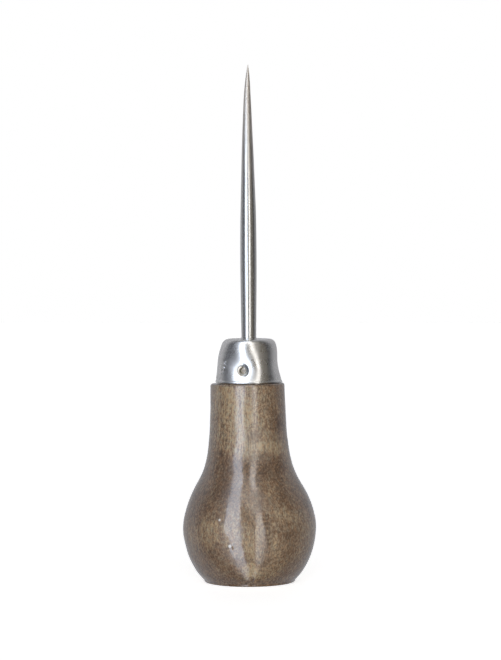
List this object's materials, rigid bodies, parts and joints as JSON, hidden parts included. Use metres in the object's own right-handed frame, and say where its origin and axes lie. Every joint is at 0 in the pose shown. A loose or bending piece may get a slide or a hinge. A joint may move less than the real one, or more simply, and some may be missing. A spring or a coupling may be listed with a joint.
{
  "type": "scratch awl",
  "caption": "Scratch awl: bulb-shaped lacquered hardwood handle, drawn steel ferrule locked by a punched stake, and a slender tapered round steel blade with a sharp point.",
  "frame": {"origin": "centre of the flat butt of the handle, which is the lowest face", "axes": "+Z along the tool's axis from the butt to the point of the blade; -Y is the side of the ferrule that has the punched stake"},
  "size_m": [0.0426, 0.0426, 0.1655],
  "materials": {
    "blade_steel": "ground and polished along its length",
    "ferrule_plated_steel": "bright plating, lightly scuffed",
    "lacquered_wood": "brown stained hardwood under clear gloss lacquer"
  },
  "bodies": {
    "root": {"blade": "blade_steel", "ferrule": "ferrule_plated_steel", "handle": "lacquered_wood"}
  },
  "joints": []
}
